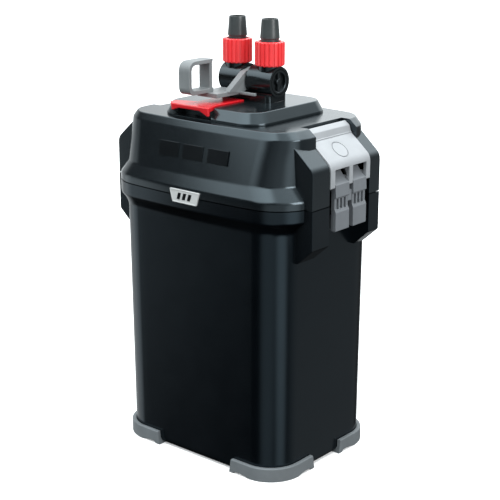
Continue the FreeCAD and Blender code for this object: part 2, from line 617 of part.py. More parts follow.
def make_foam():
    frame = box("foam_frame_block", (S.foam_low_x, -S.foam_half_y, S.basket_first),
                (S.foam_high_x, S.foam_half_y, S.foam_top))
    windows, pads = [], []
    for i, (low, high) in enumerate(((12, 110), (116, 216))):
        windows.append(box("foam_window_%d" % i, (S.foam_low_x - 1, 4 - S.foam_half_y, low),
                           (S.foam_high_x + 1, S.foam_half_y - 4, high)))
        pads.append(box("foam_pad_block_%d" % i, (S.foam_low_x + 1, 4.4 - S.foam_half_y, low + 0.4),
                        (S.foam_high_x - 1, S.foam_half_y - 4.4, high - 0.4)))
    node("foam_frame", cut("foam_frame_cut", frame, windows))
    node("foam_pad_lower", pads[0])
    node("foam_pad_upper", pads[1])


# ---------------------------------------------------------------- valve block
def make_valve():
    axis = (S.valve_y, S.valve_z)
    solids = [slab("valve_base", 30, 14, 5, S.dock_top + 0.1, 347, centre=(0, S.valve_y))]
    cuts = []
    sides = {"left": (-1, -S.barrel_end, S.hub_low - 0.1), "right": (1, S.hub_high + 0.1, S.barrel_end)}
    for side, (flip, low, high) in sides.items():
        port = (flip * S.port_x, S.valve_y)
        solids.append(cylinder("barrel_" + side, S.barrel_radius, "x", axis, low, high))
        solids.append(box("pedestal_" + side, (low + 1, S.valve_y - 10, 346),
                          (high - 1, S.valve_y + 10, 351)))
        solids.append(cylinder("neck_" + side, S.neck_radius, "z", port, S.valve_z, S.nut_low - 0.1))
        solids.append(cylinder("thread_" + side, S.neck_radius - 0.8, "z", port, S.valve_z, S.thread_top))
        spigot = cut("spigot_grooved_" + side,
                     cylinder("spigot_" + side, S.spigot_radius, "z", port, S.spigot_low, S.dock_top + 3),
                     cut("o_ring_groove_" + side,
                         cylinder("groove_out_" + side, S.spigot_radius + 2, "z", port, 333.8, 336.2),
                         cylinder("groove_in_" + side, S.spigot_radius - 1.4, "z", port, 333, 337)))
        solids.append(spigot)
        cuts.append(cylinder("port_" + side, S.port_radius, "z", port, S.spigot_low - 1, S.thread_top + 1))
        cap_end = flip * (S.barrel_end - 3)
        inner = (cap_end, high + 1) if flip < 0 else (low - 1, cap_end)
        outer = (low - 1, cap_end) if flip < 0 else (cap_end, high + 1)
        cuts.append(cylinder("rotor_bore_" + side, S.rotor_radius + S.running_gap, "x", axis, *inner))
        cuts.append(cylinder("cap_bore_" + side, S.rotor_radius + 1.3, "x", axis, *outer))
    node("valve_body", cut("valve_body_cut", fuse("valve_solid", solids), cuts))

    rings = []
    for side, (flip, low, high) in sides.items():
        port = (flip * S.port_x, S.valve_y)
        rings.append(cut("o_ring_" + side,
                         cylinder("o_ring_out_" + side, S.spigot_radius + 0.03, "z", port, 334, 336),
                         cylinder("o_ring_in_" + side, S.spigot_radius - 1.35, "z", port, 333, 337)))
        cap_low, cap_high = sorted((flip * (S.barrel_end - 2.95), flip * S.barrel_end),
                                   key=lambda size: size.value)
        rim = cylinder("cap_disc_" + side, S.rotor_radius + 1.25, "x", axis, cap_low, cap_high)
        dish_low, dish_high = sorted((flip * (S.barrel_end - 1.9), flip * (S.barrel_end + 1)),
                                     key=lambda size: size.value)
        dish = cut("cap_dish_" + side, cylinder("cap_well_" + side, 8.6, "x", axis, dish_low, dish_high),
                   box("cap_bar_" + side, (dish_low - 1, S.valve_y - 1.2, S.valve_z - 10),
                       (dish_high + 1, S.valve_y + 1.2, S.valve_z + 10)))
        node("valve_cap_" + side, cut("valve_cap_cut_" + side, rim, dish))
        rotor_low, rotor_high = ((-(S.barrel_end - 3.2), S.hub_low) if flip < 0
                                 else (S.hub_high, S.barrel_end - 3.2))
        node("valve_rotor_" + side, cut(
            "valve_rotor_cut_" + side,
            cylinder("rotor_" + side, S.rotor_radius, "x", axis, rotor_low, rotor_high),
            cylinder("rotor_port_" + side, S.port_radius, "z", port, S.valve_z - 12, S.valve_z + 12)))
    node("port_o_rings", group("port_o_ring_pair", rings))


def make_hose_ends():
    for label, flip in (("intake", -1), ("output", 1)):
        at = {"x": flip * S.port_x, "y": S.valve_y}
        node("hose_nozzle_" + label, turned("hose_nozzle_%s_body" % label, [
            (S.nozzle_bore, S.thread_top + 0.1), (10.2, S.thread_top + 0.1), (10.2, 391), (8.5, 391.4),
            (8.5, 398.4), (S.nozzle_root, 399.4), (S.nozzle_tip, S.nozzle_top),
            (S.nozzle_bore, S.nozzle_top)], **at))
        shell = turned("hose_nut_%s_shell" % label, [
            (S.neck_radius - 0.6, S.nut_low), (S.nut_radius - 0.6, S.nut_low),
            (S.nut_radius, S.nut_low + 0.8),
            (S.nut_radius, S.nut_high - 1), (S.nut_radius - 1, S.nut_high), (9.4, S.nut_high), (9.4, 392.2),
            (S.neck_radius - 0.6, 392.2)], **at)
        ribs = []
        for i in range(18):
            rib = cylinder("hose_nut_%s_rib%d" % (label, i), S.nut_rib * 1.4, "z", (0, 0), 0, 19)
            angle = 2 * math.pi * i / 18
            reach = S.nut_radius - 0.7
            place(rib, flip * S.port_x + reach * math.cos(angle), S.valve_y + reach * math.sin(angle),
                  S.nut_low + 1.6)
            ribs.append(rib)
        node("hose_nut_" + label, fuse("hose_nut_%s_ribbed" % label, [shell] + ribs))


def make_lever():
    axis = (S.valve_y, S.valve_z)
    hub = cylinder("lever_hub", 11, "x", axis, S.hub_low, S.hub_high)
    arm = prism("lever_arm", [(-25, 351), (-21, 353.6), (-1, 367.6), (5, 369), (9, 369), (9, 361),
                              (3, 363), (-14, 351)], "x", S.hub_low + 0.3, S.hub_high - 0.6)
    web = prism("lever_web", [(-21, 351), (-5, 348), (4, 352), (6, 364), (1, 366)],
                "x", -1.4, S.hub_high - 0.8)
    plate = box("lever_plate", (-25.6, -39, 347), (-1.2, -5, 351.2))
    bar = box("lever_bar", (-1.3, -8, 347), (18, -5, 349.6))
    loop = box("loop_outer", (-25.6, -64, 351), (-12.3, -31, 382))
    loop = rounded("loop_rounded", loop, 8.0, lambda b: b.YMax < -63.9 and b.XMax - b.XMin > 5)
    hole = box("loop_inner", (-27, -60.2, 354.8), (-11, -34.8, 378.2))
    hole = rounded("loop_inner_rounded", hole, 4.2, lambda b: b.YMax < -60.1 and b.XMax - b.XMin > 5)
    loop = cut("lever_loop", loop, hole)
    node("valve_lever", fuse("valve_lever_all", [hub, arm, web, plate, bar, loop]))


def make_front_handle():
    slab_part = prism("handle_slab", [(-44, -56), (-37, -62.5), (8.6, -62.5), (8.6, -58), (4, -46),
                                      (3.8, -6), (-24, -6), (-24, -40), (-44, -48)], "z", 338.6, 342.4)
    right_lip = prism("handle_lip_right", [(8.6, 339), (8.6, 334.6), (6.8, 334.6), (-3, 339)],
                      "y", -62.5, -59.5)
    left_lip = prism("handle_lip_left", [(-37, 339), (-37, 336), (-35, 336), (-27, 339)], "y", -62.5, -59.5)
    node("front_handle", fuse("front_handle_all", [slab_part, right_lip, left_lip]))


# ---------------------------------------------------------------- latches
def make_latches():
    hinge, hook_pin = (S.hinge_x, S.hinge_z), (S.hook_pin_x, S.hook_pin_z)
    front, back = S.handle_front, S.handle_back
    legs = ((front, -18.9), (2.3, 7.6), (28.6, back))
    profile = [(90.6, 328), (96.2, 324.2), (98, 317.3), (119.4, 299.6), (120.4, 296.5), (120.4, 277.6),
               (117, 277.6), (117, 294.6), (116, 297.4), (97, 313.2), (91, 316), (89.6, 320), (89.4, 325.5)]
    plate = prism("handle_plate", profile, "y", front, back)
    windows = [box("handle_window_%d" % i, (109, low, 270), (125, high, 293.8))
               for i, (low, high) in enumerate(((-18.9, 2.3), (7.6, 28.6)))]
    framed = cut("handle_framed", plate, windows)
    bosses = [cylinder("handle_boss_%d" % i, S.hook_boss, "y", hook_pin, low, high)
              for i, (low, high) in enumerate(legs)]
    bored = cut("handle_bored", fuse("handle_solid", [framed] + bosses), [
        cylinder("handle_hinge_bore", S.hinge_pin + S.running_gap, "y", hinge, front - 1, back + 1),
        cylinder("handle_hook_bore", S.hook_pin_radius, "y", hook_pin, front - 1, back + 1)])
    hinge_bar = cylinder("hinge_pin_bar", S.hinge_pin, "y", hinge, S.recess_front - 5.5, S.recess_back + 5.5)
    hook_bar = cylinder("hook_pin_bar", S.hook_pin_radius, "y", hook_pin, front + 0.3, back - 0.3)

    # a scooped top, a collar, a slotted face set back above a ledge, the flat foot and the throat
    tab = [(S.hook_face - 11, 290), (S.hook_face - 8, 286.4), (S.hook_face - 4.4, 282.8),
           (S.hook_face - 0.6, 280.2), (S.hook_face, 268.8), (S.slot_face, 267.6), (S.slot_face, 258.6),
           (S.hook_face, 255), (S.hook_face, S.hook_low), (104, S.hook_low),
           (104, S.lug_low + 1.5), (110.6, S.lug_low + 8.1), (115.8, S.lug_low + 8.1), (115.8, 274),
           (109.8, 278), (109.8, 286)]
    tabs = [prism("hook_tab_%d" % i, tab, "y", low, high)
            for i, (low, high) in enumerate(((-18.5, 1.9), (8, 28.2)))]
    bridge = box("hook_bridge", (115.8, 1.5, 262), (119, 8.5, 272))
    grooves = [box("hook_groove_%d_%d" % (i, k), (S.slot_face - 2.3, low + 3 + 5.4 * k, 257.4),
                   (S.hook_face + 1, low + 6.2 + 5.4 * k, 267))
               for i, low in enumerate((-18.5, 8)) for k in range(3)]
    hook = cut("hook_cut", fuse("hook_solid", tabs + [bridge]), grooves + [
        cylinder("hook_bore", S.hook_pin_radius + S.running_gap, "y", hook_pin, front - 1, back + 1)])

    slope = math.degrees(math.atan2(17.7, 21.4))
    disc = doc.addObject("Part::Cylinder", "latch_disc_bar")
    disc.Radius, disc.Height = 9, 0.6
    disc.Placement = FreeCAD.Placement(FreeCAD.Vector(109.35, 2.4, 307.95), FreeCAD.Rotation(Y_AXIS, slope))

    for label, right in (("latch_handle", bored), ("latch_hook", hook), ("latch_hinge_pin", hinge_bar),
                         ("latch_hook_pin", hook_bar), ("latch_disc", disc)):
        node(label + "_right", right)
        node(label + "_left", mirrored(label + "_mirror", right))


# ---------------------------------------------------------------- build and write
for make in (make_canister, make_feet, make_lid, make_lid_trim, make_ducts, make_deck, make_pump,
             make_gland, make_baskets, make_foam, make_valve, make_hose_ends, make_lever,
             make_front_handle, make_latches):
    make()
doc.recompute()

troubles = ["%s: %s" % (thing.Label, thing.State) for thing in doc.Objects
            if "Invalid" in thing.State or "Error" in thing.State]
for thing in NODES:
    if thing.Shape.isNull() or not thing.Shape.isValid() or not thing.Shape.Solids:
        troubles.append("%s: bad shape" % thing.Label)
if troubles:
    raise RuntimeError("; ".join(troubles))

os.makedirs("parts", exist_ok=True)
for thing in NODES:
    thing.Shape.exportStep("parts/%s.step" % thing.Label)
    print("%-24s %2d solids  %9.0f mm3" % (thing.Label, len(thing.Shape.Solids), thing.Shape.Volume))
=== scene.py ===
import json
import math

import bmesh
import bpy
from mathutils import Matrix, Vector


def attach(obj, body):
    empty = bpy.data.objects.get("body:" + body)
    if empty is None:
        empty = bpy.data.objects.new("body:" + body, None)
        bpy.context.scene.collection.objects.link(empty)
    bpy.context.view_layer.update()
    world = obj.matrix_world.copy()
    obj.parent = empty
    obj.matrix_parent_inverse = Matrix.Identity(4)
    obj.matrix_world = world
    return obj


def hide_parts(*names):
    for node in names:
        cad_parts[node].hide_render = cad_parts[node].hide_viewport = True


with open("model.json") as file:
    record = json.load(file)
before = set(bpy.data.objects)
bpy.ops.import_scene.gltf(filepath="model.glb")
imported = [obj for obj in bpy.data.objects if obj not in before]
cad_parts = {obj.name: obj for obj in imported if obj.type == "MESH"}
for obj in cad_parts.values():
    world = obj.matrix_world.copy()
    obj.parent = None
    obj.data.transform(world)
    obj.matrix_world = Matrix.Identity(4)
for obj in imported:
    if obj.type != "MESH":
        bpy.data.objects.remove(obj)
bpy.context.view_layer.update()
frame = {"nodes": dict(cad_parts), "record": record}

# Looks of the canister filter. Shapes below are written in millimetres and scaled by MM to metres.
# The frame is the part's own: +Z up, -Y the front, latches on the +X and -X sides.
MM = 0.001
# Heights of the seam's lower and upper edge, and underside and outer face of the latch housings.
SEAM_LOW = 262.0
SEAM_HIGH = 263.0
HOUSING_LOW = 211.5
HOUSING_X = 120.0
# The hoses stand this far left and right of the middle, in line with the valve barrel's axis.
HOSE_X = 19.8
BARREL_Y = 11.9
BARREL_Z = 359.2
DUCT_RADIUS = 12.7
BADGE_Y = -84.2
# Body and material slot of each CAD node.
BODY_OF = {node: body for body, nodes in frame["record"]["behaviour"]["bodies"].items() for node in nodes}
SLOT_OF = {entry["node"]: entry["material_slot"] for entry in frame["record"]["subparts"]}


# ------------------------------------------------------------------ materials
def node_material(name):
    """A new material with its node tree and its shader."""
    material = bpy.data.materials.new(name)
    material.use_nodes = True
    tree = material.node_tree
    return material, tree, tree.nodes["Principled BSDF"]


def add(tree, kind, **values):
    """A new node; each value sets the input of that name or else the node's own setting."""
    made = tree.nodes.new(kind)
    for key, value in values.items():
        if key in made.inputs:
            made.inputs[key].default_value = value
        else:
            setattr(made, key, value)
    return made


def ramp(tree, source, stops):
    """A colour ramp fed by source; stops are (position, grey or colour)."""
    made = tree.nodes.new("ShaderNodeValToRGB")
    elements = made.color_ramp.elements
    while len(elements) < len(stops):
        elements.new(0.5)
    for element, (position, colour) in zip(elements, stops):
        element.position = position
        element.color = (colour, colour, colour, 1) if isinstance(colour, float) else (*colour, 1)
    tree.links.new(source, made.inputs["Fac"])
    return made.outputs["Color"]


def plastic(name, colour, roughness, specular, grain=0.25, grain_size=0.35, mottle=0.12, wear=0.25,
            tint=(1, 1, 1)):
    """Moulded plastic: fine grain, slow colour drift, uneven sheen and paler rubbed edges."""
    material, tree, shader = node_material(name)
    place = add(tree, "ShaderNodeTexCoord").outputs["Object"]
    cloud = add(tree, "ShaderNodeTexNoise", Scale=38.0, Detail=4.0, Roughness=0.6)
    tree.links.new(place, cloud.inputs["Vector"])
    dark = tuple(channel * (1 - mottle) for channel in colour)
    light = tuple(min(1.0, channel * (1 + mottle) + 0.004 * mottle) for channel in colour)
    base = ramp(tree, cloud.outputs["Fac"], [(0.3, dark), (0.7, light)])
    edges = add(tree, "ShaderNodeNewGeometry").outputs["Pointiness"]
    rubbed = ramp(tree, edges, [(0.52, 0.0), (0.60, wear)])
    worn = tuple(min(1.0, channel * 1.6 + 0.02) for channel in colour)
    mix = add(tree, "ShaderNodeMix", data_type="RGBA")
    tree.links.new(rubbed, mix.inputs["Factor"])
    tree.links.new(base, mix.inputs["A"])
    mix.inputs["B"].default_value = (*worn, 1)
    tree.links.new(mix.outputs["Result"], shader.inputs["Base Color"])
    smear = add(tree, "ShaderNodeTexNoise", Scale=45.0, Detail=3.0)
    tree.links.new(place, smear.inputs["Vector"])
    sheen = ramp(tree, smear.outputs["Fac"], [(0.25, roughness * 0.93), (0.75, roughness * 1.08)])
    tree.links.new(sheen, shader.inputs["Roughness"])
    pits = add(tree, "ShaderNodeTexNoise", Scale=1.0 / (grain_size * MM), Detail=2.0, Roughness=0.5)
    tree.links.new(place, pits.inputs["Vector"])
    bump = add(tree, "ShaderNodeBump", Strength=grain, Distance=0.00006)
    tree.links.new(pits.outputs["Fac"], bump.inputs["Height"])
    tree.links.new(bump.outputs["Normal"], shader.inputs["Normal"])
    shader.inputs["Specular IOR Level"].default_value = specular
    shader.inputs["Specular Tint"].default_value = (*tint, 1)
    return material


# Dark plastic mirrors the studio with a cool cast.
COOL = (0.74, 0.91, 1.0)
COLD = (0.62, 0.85, 1.0)
MATERIALS = {
    "canister_black": plastic("canister_black", (0.0007, 0.0012, 0.0020), 0.23, 0.55, grain=0.03,
                              mottle=0.08, wear=0.1, tint=COLD),
    "lid_charcoal": plastic("lid_charcoal", (0.0032, 0.0046, 0.0058), 0.20, 0.80, grain=0.16, mottle=0.08,
                            wear=0.15, tint=COOL),
    "dock_black": plastic("dock_black", (0.0060, 0.0084, 0.0098), 0.18, 0.75, grain=0.14, mottle=0.08,
                          wear=0.15, tint=COOL),
    "foot_grey": plastic("foot_grey", (0.128, 0.142, 0.150), 0.55, 0.3, grain=0.4),
    "latch_silver": plastic("latch_silver", (0.290, 0.305, 0.320), 0.42, 0.4, grain=0.5, mottle=0.06),
    "hook_grey": plastic("hook_grey", (0.145, 0.157, 0.170), 0.45, 0.4, grain=0.35, mottle=0.05),
    "lever_grey": plastic("lever_grey", (0.17, 0.185, 0.19), 0.40, 0.45, grain=0.35, mottle=0.05),
    "nut_red": plastic("nut_red", (0.80, 0.045, 0.050), 0.20, 0.5, grain=0.10, mottle=0.06),
    "handle_red": plastic("handle_red", (0.50, 0.006, 0.012), 0.26, 0.5, grain=0.12, mottle=0.08),
    "nozzle_slate": plastic("nozzle_slate", (0.034, 0.042, 0.043), 0.32, 0.6, grain=0.2),
    "valve_black": plastic("valve_black", (0.0022, 0.0028, 0.0030), 0.20, 0.6, grain=0.08, wear=0.1,
                           tint=COOL),
    "badge_silver": plastic("badge_silver", (0.52, 0.53, 0.525), 0.32, 0.5, grain=0.1, mottle=0.04),
    "emblem_black": plastic("emblem_black", (0.0008, 0.0010, 0.0014), 0.22, 0.35, grain=0.05, wear=0.05,
                            tint=COOL),
    "disc_silver": plastic("disc_silver", (0.290, 0.305, 0.320), 0.42, 0.4, grain=0.5, mottle=0.06),
    "seal_rubber": plastic("seal_rubber", (0.010, 0.010, 0.010), 0.65, 0.3, grain=0.4),
    "inner_plastic": plastic("inner_plastic", (0.030, 0.032, 0.034), 0.45, 0.4),
    "basket_plastic": plastic("basket_plastic", (0.075, 0.080, 0.085), 0.48, 0.4),
    "steel": plastic("steel", (0.55, 0.55, 0.56), 0.28, 0.5, grain=0.2, mottle=0.05),
    "ceramic_white": plastic("ceramic_white", (0.75, 0.74, 0.70), 0.2, 0.5, grain=0.05),
    "magnet_dark": plastic("magnet_dark", (0.03, 0.03, 0.032), 0.35, 0.5),
    "coil_resin": plastic("coil_resin", (0.16, 0.045, 0.015), 0.35, 0.5),
    "media_rings": plastic("media_rings", (0.55, 0.50, 0.42), 0.8, 0.2, grain=1.0, grain_size=3.0,
                           mottle=0.3),
    "media_carbon": plastic("media_carbon", (0.010, 0.010, 0.011), 0.6, 0.3, grain=1.0, grain_size=2.0,
                            mottle=0.5),
    "media_floss": plastic("media_floss", (0.75, 0.76, 0.74), 0.9, 0.1, grain=1.0, grain_size=1.0,
                           mottle=0.1),
    "foam": plastic("foam", (0.012, 0.012, 0.014), 0.9, 0.1, grain=1.0, grain_size=1.2, mottle=0.4),
}
MATERIALS["steel"].node_tree.nodes["Principled BSDF"].inputs["Metallic"].default_value = 1.0

for node, cad in frame["nodes"].items():
    cad.data.materials.clear()
    cad.data.materials.append(MATERIALS[SLOT_OF[node]])


# ------------------------------------------------------------------ mesh helpers
def finish_piece(piece, node, extra_slot=None):
    """Puts a new piece on the body and in the slot of the CAD node it replaces. With a slot of its
    own the piece is an extra that only rides with the node. Large faces keep their own direction,
    so only the rounded edges between them catch the light."""
    flatten = piece.modifiers.new("flatten", "WEIGHTED_NORMAL")
    flatten.keep_sharp = True
    flatten.mode = "FACE_AREA_WITH_ANGLE"
    apply_modifiers(piece)
    piece.data.materials.clear()
    slot = extra_slot or SLOT_OF[node]
    piece.data.materials.append(MATERIALS[slot])
    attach(piece, BODY_OF[node])
    if not extra_slot:
        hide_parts(node)


def to_object(bm, name, sharp=35.0):
    """Turns a bmesh in millimetres into an object in metres, smooth except at sharp edges."""
    bmesh.ops.remove_doubles(bm, verts=bm.verts, dist=0.004)
    bmesh.ops.dissolve_degenerate(bm, edges=bm.edges, dist=0.002)
    bmesh.ops.recalc_face_normals(bm, faces=bm.faces)
    bmesh.ops.scale(bm, vec=(MM, MM, MM), verts=bm.verts)
    mesh = bpy.data.meshes.new(name)
    bm.to_mesh(mesh)
    bm.free()
    for face in mesh.polygons:
        face.use_smooth = True
    mesh.set_sharp_from_angle(angle=math.radians(sharp))
    made = bpy.data.objects.new(name, mesh)
    bpy.context.scene.collection.objects.link(made)
    return made


def apply_modifiers(piece):
    """Replaces a piece's mesh with the result of its modifiers."""
    ready = piece.evaluated_get(bpy.context.evaluated_depsgraph_get())
    mesh = bpy.data.meshes.new_from_object(ready)
    piece.modifiers.clear()
    old, piece.data = piece.data, mesh
    bpy.data.meshes.remove(old)
    return piece


def ease_edges(piece, width, segments=3, angle=32.0):
    """Rounds every edge sharper than angle."""
    bevel = piece.modifiers.new("ease", "BEVEL")
    bevel.width = width * MM
    bevel.segments = segments
    bevel.limit_method = "ANGLE"
    bevel.angle_limit = math.radians(angle)
    bevel.harden_normals = True
    bevel.miter_outer = "MITER_ARC"
    return apply_modifiers(piece)


def carve(piece, tools):
    """Cuts the tool objects out of a piece and removes them."""
    for tool in tools:
        cutter = piece.modifiers.new("cut", "BOOLEAN")
        cutter.operation = "DIFFERENCE"
        cutter.solver = "EXACT"
        cutter.object = tool
    bpy.context.view_layer.update()
    apply_modifiers(piece)
    for tool in tools:
        bpy.data.objects.remove(tool)
    return piece


def join(piece, others):
    """Adds the meshes of other objects to a piece and removes those objects."""
    bm = bmesh.new()
    bm.from_mesh(piece.data)
    for other in others:
        bm.from_mesh(other.data)
        bpy.data.objects.remove(other)
    bm.to_mesh(piece.data)
    bm.free()
    return piece


def eased_copy(node, width):
    """The CAD node's own shape, with flat faces joined up and its sharp edges rounded."""
    bm = bmesh.new()
    bm.from_mesh(frame["nodes"][node].data)
    bmesh.ops.scale(bm, vec=(1 / MM, 1 / MM, 1 / MM), verts=bm.verts)
    bmesh.ops.remove_doubles(bm, verts=bm.verts, dist=0.002)
    bmesh.ops.dissolve_limit(bm, angle_limit=math.radians(0.2), verts=bm.verts, edges=bm.edges,
                             delimit={"NORMAL"})
    finish_piece(ease_edges(to_object(bm, node + "_skin"), width), node)


def round_corners(points, radii, steps=5):
    """A closed flat profile with its corners rounded."""
    path = []
    for i, (point, radius) in enumerate(zip(points, radii)):
        here = Vector(point)
        back = Vector(points[i - 1]) - here
        on = Vector(points[(i + 1) % len(points)]) - here
        turn = math.pi - back.angle(on)
        reach = min(radius * math.tan(turn / 2), 0.48 * back.length, 0.48 * on.length)
        if reach < 1e-3:
            path.append(tuple(here))
            continue
        start, end = here + back.normalized() * reach, here + on.normalized() * reach
        for k in range(steps + 1):
            t = k / steps
            path.append(tuple(start * (1 - t) ** 2 + here * 2 * t * (1 - t) + end * t ** 2))
    return path


def circle(centre, radius, count):
    """Points of a flat circle, anticlockwise."""
    return [(centre[0] + radius * math.cos(2 * math.pi * i / count),
             centre[1] + radius * math.sin(2 * math.pi * i / count)) for i in range(count)]


def prism(bm, points, axis, start, end, round_by=0.0, crisp=None):
    """Adds a bar whose profile is points; axis is the direction it runs in. Its edges are rounded,
    except those that lie at the height crisp."""
    def corner(a, b, along):
        return {"x": (along, a, b), "y": (a, along, b), "z": (a, b, along)}[axis]

    rims = [[bm.verts.new(corner(a, b, along)) for a, b in points] for along in (start, end)]
    faces = [bm.faces.new(rims[0]), bm.faces.new(rims[1])]
    for i in range(len(points)):
        k = (i + 1) % len(points)
        faces.append(bm.faces.new((rims[0][i], rims[0][k], rims[1][k], rims[1][i])))
    bmesh.ops.recalc_face_normals(bm, faces=faces)
    if round_by:
        edges = [edge for edge in {edge for face in faces for edge in face.edges}
                 if edge.calc_face_angle(0.0) > math.radians(30)
                 and not all(vert.co.z == crisp for vert in edge.verts)]
        bmesh.ops.bevel(bm, geom=edges, offset=round_by, segments=3, profile=0.5, affect="EDGES",
                        clamp_overlap=True)


def prism_object(name, points, axis, start, end):
    """A bar with sharp edges as an object of its own."""
    bm = bmesh.new()
    prism(bm, points, axis, start, end)
    return to_object(bm, name)


def skin(bm, rings, capped=True):
    """Joins rings of equal length with quads and closes the first and the last."""
    rows = [[bm.verts.new(point) for point in ring] for ring in rings]
    count = len(rows[0])
    for low, high in zip(rows, rows[1:]):
        for i in range(count):
            k = (i + 1) % count
            bm.faces.new((low[i], low[k], high[k], high[i]))
    if capped:
        bm.faces.new(rows[0])
        bm.faces.new(rows[-1])


def filleted(keys, radii, steps=4):
    """Softens the corners of a path of tuples: each inner key becomes a short curve of its radius."""
    def between(a, b, t):
        return tuple(m * (1 - t) + n * t for m, n in zip(a, b))

    def reach(a, b, radius):
        return min(radius / max(1e-6, math.dist(a[:3], b[:3])), 0.49)

    path = [keys[0]]
    for before, key, after, radius in zip(keys, keys[1:], keys[2:], radii):
        if radius <= 0:
            path.append(key)
            continue
        start = between(key, before, reach(key, before, radius))
        end = between(key, after, reach(key, after, radius))
        for i in range(steps + 1):
            t = i / steps
            path.append(between(between(start, key, t), between(key, end, t), t))
    path.append(keys[-1])
    return path


def lathe(bm, profile, centre, count, swell=None, capped=True):
    """Turns a (radius, height) profile about an upright axis; swell adds to the radius by angle and
    height."""
    rings = []
    for radius, height in profile:
        ring = []
        for i in range(count):
            angle = 2 * math.pi * i / count
            r = radius + (swell(angle, height) if swell else 0.0)
            ring.append((centre[0] + r * math.cos(angle), centre[1] + r * math.sin(angle), height))
        rings.append(ring)
    skin(bm, rings, capped)


# ------------------------------------------------------------------ outlines of canister and lid
# Radius of the bowed front and back, how far along y the flat sides reach, the recess between the
# latch housings (where it lies along y, how far out its wall stands) and the housings' pillars.
BOW = 900.0
SIDE_REACH = 44.0
RECESS = (-26.1, 35.1)
RECESS_WALL = 101.6
PILLARS = ((-51.0, -26.0), (35.0, 51.0))
CORNER_STEPS = 16
FRONT_STEPS = 14


def outline(half_x, half_y, corner, height, bow, notch):
    """Points of a rounded rectangle at a height, anticlockwise from the right side. bow is the radius
    of its front and back, None where they are flat; notch is how far out the recess wall stands on
    both sides, None where there is no recess."""
    arc_x = half_x - corner
    if bow:
        span = bow - corner
        arc_y = math.sqrt(span ** 2 - arc_x ** 2) - (bow - half_y)
        lean = math.asin(arc_x / span)
    else:
        arc_y, lean = half_y - corner, 0.0

    def side_x(y):
        over = max(0.0, abs(y) - arc_y)
        return arc_x + math.sqrt(max(0.0, corner ** 2 - over ** 2))

    lowest, highest = RECESS
    side = [(side_x(y), y) for y in (-SIDE_REACH, -35.0, lowest)]
    wall = notch if notch is not None else 1e6
    side += [(min(side_x(y), wall), y) for y in (lowest, -12.0, 4.5, 21.0, highest)]
    side += [(side_x(y), y) for y in (highest, 40.0, SIDE_REACH)]
    first = math.asin(max(0.0, min(1.0, (SIDE_REACH - arc_y) / corner)))
    turn = []
    for i in range(1, CORNER_STEPS + 1):
        angle = first + (math.pi / 2 - lean - first) * i / CORNER_STEPS
        turn.append((arc_x + corner * math.cos(angle), arc_y + corner * math.sin(angle)))
    edge_x = turn[-1][0]
    back = []
    for i in range(1, FRONT_STEPS):
        x = edge_x * (1 - 2 * i / FRONT_STEPS)
        y = half_y - (bow - math.sqrt(bow ** 2 - x ** 2)) if bow else half_y
        back.append((x, y))
    left_turn = [(-x, y) for x, y in reversed(turn)]
    left = [(-x, y) for x, y in reversed(side)]
    front_left = [(-x, -y) for x, y in turn]
    front = [(-x, -y) for x, y in back]
    front_right = [(x, -y) for x, y in reversed(turn)]
    ring = side + turn + back + left_turn + left + front_left + front + front_right
    return [(x, y, height) for x, y in ring]


def pillar_pairs(bm, profile, radii, round_by, seam):
    """Four latch housing pillars, crisp at the seam: profile is in x and z for the right side."""
    soft = round_corners(profile, radii)
    for flip in (1, -1):
        points = [(flip * x, z) for x, z in soft]
        for start, end in PILLARS:
            prism(bm, points, "y", start, end, round_by, crisp=seam)


def make_canister():
    """Canister with its flange, the housings' lower halves, the seam's tongues and the hook lugs."""
    bm = bmesh.new()
    # height, half width, half depth and corner radius, up the outside and back down the inside
    keys = [(2.0, 86.0, 62.0, 22.0), (2.0, 98.6, 74.4, 30.0), (240.2, 100.0, 75.8, 30.0),
            (246.4, 106.2, 79.2, 36.6), (250.0, 113.0, 82.5, 42.0), (SEAM_LOW, 113.0, 82.5, 42.0),
            (SEAM_LOW, 94.6, 70.4, 26.0), (5.0, 94.6, 70.4, 26.0)]
    radii = [5.0, 3.0, 4.0, 2.2, 0.0, 0.6]
    flange_low, flange_start, flange_depth = 238.5, 99.9, 12.6
    rings = []
    for z, x, y, corner in filleted(keys, radii):
        # the body's faces are flat and bow out towards the flange
        flange = max(0.0, min(1.0, (x - flange_start) / flange_depth)) if z > flange_low else 0.0
        bowed = BOW / flange if flange > 0.02 else None
        rings.append(outline(x, y, corner, z, bowed, RECESS_WALL if z > HOUSING_LOW else None))
    skin(bm, rings)
    pillar_pairs(bm, [(94, HOUSING_LOW), (103.5, HOUSING_LOW), (HOUSING_X, 226), (HOUSING_X, SEAM_LOW),
                      (94, SEAM_LOW)], (0, 1.0, 3.0, 0, 0), 0.5, SEAM_LOW)
    set_back = 2.2
    for flip in (1, -1):
        # tongues that close the seam inside the pillars, and the lug that the hooks catch under
        for start, end in PILLARS:
            near, far = flip * 96, flip * (HOUSING_X - set_back)
            tongue = [(near, SEAM_LOW - 1), (far, SEAM_LOW - 1),
                      (far, SEAM_HIGH + 1), (near, SEAM_HIGH + 1)]
            prism(bm, tongue, "y", start + set_back, end - set_back)
        prism(bm, [(flip * 99, 243), (flip * 101.6, 243), (flip * 109.6, 251), (flip * 109.6, 256),
                   (flip * 99, 256)], "y", -22, 31, 0.5)
    finish_piece(to_object(bm, "canister_shell", 28), "canister_body")


